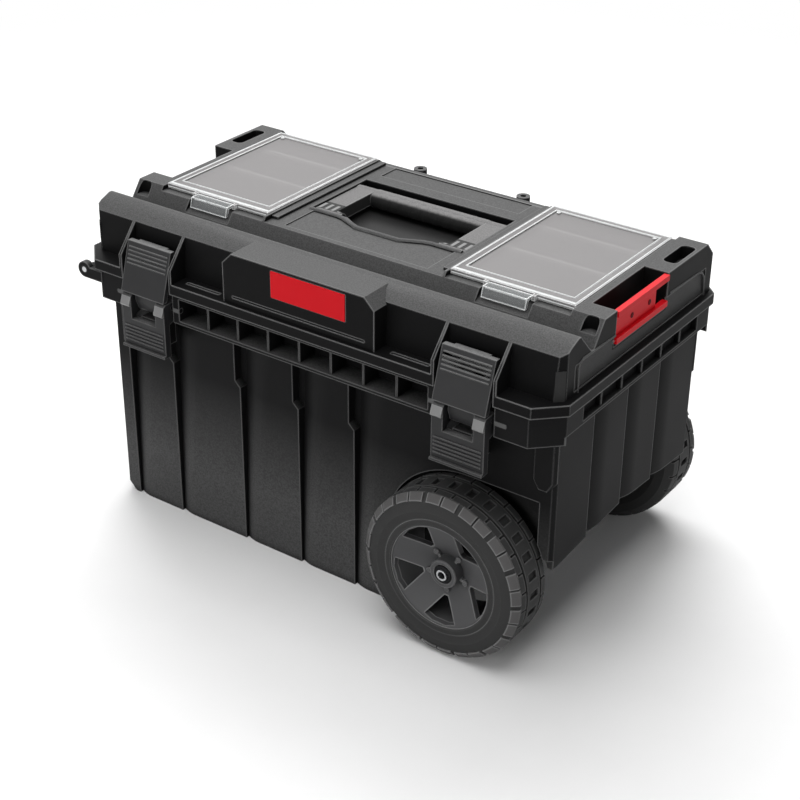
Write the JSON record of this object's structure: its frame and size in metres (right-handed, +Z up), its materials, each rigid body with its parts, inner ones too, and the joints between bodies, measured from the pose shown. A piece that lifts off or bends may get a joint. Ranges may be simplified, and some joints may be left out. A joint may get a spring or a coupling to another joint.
{
  "type": "jobsite storage box",
  "caption": "Wheeled jobsite storage box with a hinged lid, draw latches, clear-covered organisers in the lid, a folding carry handle and a tow bail.",
  "frame": {"origin": "on the floor, under the middle of the lid", "axes": "+X to the wheel end, -Y to the latch side, +Z up"},
  "size_m": [0.603, 0.38, 0.368],
  "materials": {
    "black_shell": "black polypropylene with a fine moulded grain",
    "red_plastic": "satin red moulded plastic",
    "clear_plastic": "frosted clear polycarbonate",
    "latch_plastic": "dark grey satin plastic",
    "handle_plastic": "mid grey satin plastic",
    "grip_rubber": "black soft grip",
    "wheel_plastic": "satin dark grey moulded plastic",
    "tyre_rubber": "dark grey tyre rubber",
    "seal_rubber": "soft black",
    "steel": "zinc-plated steel"
  },
  "bodies": {
    "base": {"tub": "black_shell", "axle_tube": "steel", "front_washer": "steel", "rear_washer": "steel", "front_retainer": "steel", "rear_retainer": "steel", "hinge_pin_left": "steel", "hinge_pin_right": "steel", "latch_pin_left": "steel", "latch_pin_right": "steel", "tow_rod": "steel"},
    "lid": {"lid_shell": "black_shell", "lid_seal": "seal_rubber", "badge_plate": "red_plastic", "cover_pin_left": "steel", "cover_pin_right": "steel", "handle_pin_left": "steel", "handle_pin_right": "steel", "side_clip_pin": "steel", "front_divider_left": "clear_plastic", "front_divider_right": "clear_plastic", "rear_divider_left": "clear_plastic", "rear_divider_right": "clear_plastic"},
    "handle": {"carry_handle": "handle_plastic", "handle_grip": "grip_rubber"},
    "bail": {"tow_bail": "handle_plastic", "tow_grip": "grip_rubber"},
    "end_clip": {"side_clip": "red_plastic"},
    "cover_left": {"clear_cover_left": "clear_plastic"},
    "clip_left": {"cover_clip_left": "clear_plastic"},
    "lever_left": {"latch_lever_left": "latch_plastic", "draw_pin_left": "steel"},
    "plate_left": {"latch_plate_left": "latch_plastic"},
    "cover_right": {"clear_cover_right": "clear_plastic"},
    "clip_right": {"cover_clip_right": "clear_plastic"},
    "lever_right": {"latch_lever_right": "latch_plastic", "draw_pin_right": "steel"},
    "plate_right": {"latch_plate_right": "latch_plastic"},
    "wheel_front": {"front_wheel": "wheel_plastic", "front_tyre": "tyre_rubber"},
    "wheel_rear": {"rear_wheel": "wheel_plastic", "rear_tyre": "tyre_rubber"}
  },
  "joints": [
    {"name": "lid_hinge", "type": "hinge", "parent": "base", "child": "lid", "pos_m": [0, 0.176, 0.2975], "axis": [-1, 0, 0], "range_deg": [0, 100]},
    {"name": "handle_fold", "type": "hinge", "parent": "lid", "child": "handle", "pos_m": [0, -0.014, 0.3525], "axis": [1, 0, 0], "range_deg": [0, 90]},
    {"name": "bail_swing", "type": "hinge", "parent": "base", "child": "bail", "pos_m": [-0.294, 0, 0.291], "axis": [0, 1, 0], "range_deg": [0, 90]},
    {"name": "end_clip_tip", "type": "hinge", "parent": "lid", "child": "end_clip", "pos_m": [0.2905, -0.0055, 0.3345], "axis": [0, 1, 0], "range_deg": [0, 35]},
    {"name": "cover_left_hinge", "type": "hinge", "parent": "lid", "child": "cover_left", "pos_m": [-0.1863, 0.121, 0.3648], "axis": [-1, 0, 0], "range_deg": [0, 100]},
    {"name": "clip_left_lift", "type": "hinge", "parent": "cover_left", "child": "clip_left", "pos_m": [-0.1863, -0.076, 0.3652], "axis": [-1, 0, 0], "range_deg": [0, 70]},
    {"name": "lever_left_swing", "type": "hinge", "parent": "base", "child": "lever_left", "pos_m": [-0.2, -0.169, 0.279], "axis": [-1, 0, 0], "range_deg": [0, 85]},
    {"name": "plate_left_follow", "type": "hinge", "parent": "lever_left", "child": "plate_left", "pos_m": [-0.2, -0.169, 0.27], "axis": [-1, 0, 0], "range_deg": [-94, 0]},
    {"name": "cover_right_hinge", "type": "hinge", "parent": "lid", "child": "cover_right", "pos_m": [0.1863, 0.121, 0.3648], "axis": [-1, 0, 0], "range_deg": [0, 100]},
    {"name": "clip_right_lift", "type": "hinge", "parent": "cover_right", "child": "clip_right", "pos_m": [0.1863, -0.076, 0.3652], "axis": [-1, 0, 0], "range_deg": [0, 70]},
    {"name": "lever_right_swing", "type": "hinge", "parent": "base", "child": "lever_right", "pos_m": [0.2, -0.169, 0.279], "axis": [-1, 0, 0], "range_deg": [0, 85]},
    {"name": "plate_right_follow", "type": "hinge", "parent": "lever_right", "child": "plate_right", "pos_m": [0.2, -0.169, 0.27], "axis": [-1, 0, 0], "range_deg": [-94, 0]},
    {"name": "wheel_front_spin", "type": "hinge", "parent": "base", "child": "wheel_front", "pos_m": [0.186, -0.159, 0.093], "axis": [0, 1, 0], "continuous": true},
    {"name": "wheel_rear_spin", "type": "hinge", "parent": "base", "child": "wheel_rear", "pos_m": [0.186, 0.159, 0.093], "axis": [0, 1, 0], "continuous": true}
  ],
  "couplings": [
    {"joint": "plate_left_follow", "follows": "lever_left_swing", "ratio": -1.1},
    {"joint": "plate_right_follow", "follows": "lever_right_swing", "ratio": -1.1}
  ]
}
